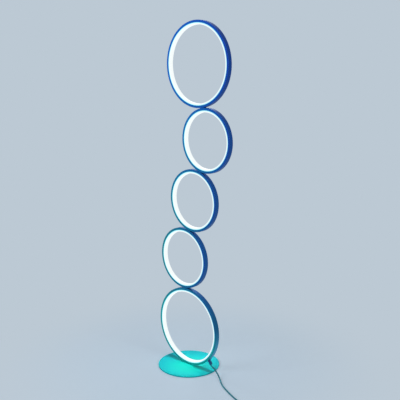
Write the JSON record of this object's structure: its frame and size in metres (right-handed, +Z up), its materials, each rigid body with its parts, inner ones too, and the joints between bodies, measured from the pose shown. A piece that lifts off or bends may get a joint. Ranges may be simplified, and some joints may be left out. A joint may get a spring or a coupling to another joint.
{
  "type": "column floor lamp",
  "caption": "Floor lamp: a leaning column of light hoops with opal inner faces stands edge to edge in one plane on a thin round base, with a boot, a coiled cord and a plug-in supply.",
  "frame": {"origin": "centre of the resting face under the base pad, on the floor", "axes": "+Z up along the column; the hoops stand in the XZ plane; -Y faces the viewer's side; the cord leaves the bottom hoop towards +X"},
  "size_m": [0.5701, 0.2752, 1.1023],
  "materials": {
    "base_enamel": "satin enamel",
    "casing_blue": "satin blue lacquer",
    "opal_diffuser": "opal, lit",
    "led_strip": "matt",
    "anti_slip_pad": "matt foam",
    "fastener_steel": "zinc plated",
    "nipple_brass": "machined",
    "lead_insulation": "matt",
    "boot_rubber": "matt",
    "cord_jacket": "satin",
    "tie_strap": "woven",
    "supply_plastic": "fine texture",
    "pin_plate_plastic": "matt",
    "pin_metal": "nickel plated"
  },
  "bodies": {
    "root": {"base_pad": "anti_slip_pad", "base_plate": "base_enamel", "bottom_hoop_casing": "casing_blue", "bottom_hoop_diffuser": "opal_diffuser", "bottom_hoop_led_strip": "led_strip", "coil_ties": "tie_strap", "cord_coil": "cord_jacket", "foot_clamp_plate": "fastener_steel", "foot_saddle": "casing_blue", "foot_screws": "fastener_steel", "joint_nipples": "nipple_brass", "joint_nuts": "fastener_steel", "joint_saddles": "casing_blue", "jumper_leads": "lead_insulation", "lower_hoop_casing": "casing_blue", "lower_hoop_diffuser": "opal_diffuser", "lower_hoop_led_strip": "led_strip", "middle_hoop_casing": "casing_blue", "middle_hoop_diffuser": "opal_diffuser", "middle_hoop_led_strip": "led_strip", "power_cord": "cord_jacket", "strain_relief": "boot_rubber", "supply_boot": "boot_rubber", "supply_housing": "supply_plastic", "supply_pin_plate": "pin_plate_plastic", "supply_pins": "pin_metal", "top_hoop_casing": "casing_blue", "top_hoop_diffuser": "opal_diffuser", "top_hoop_led_strip": "led_strip", "upper_hoop_casing": "casing_blue", "upper_hoop_diffuser": "opal_diffuser", "upper_hoop_led_strip": "led_strip"}
  },
  "joints": []
}
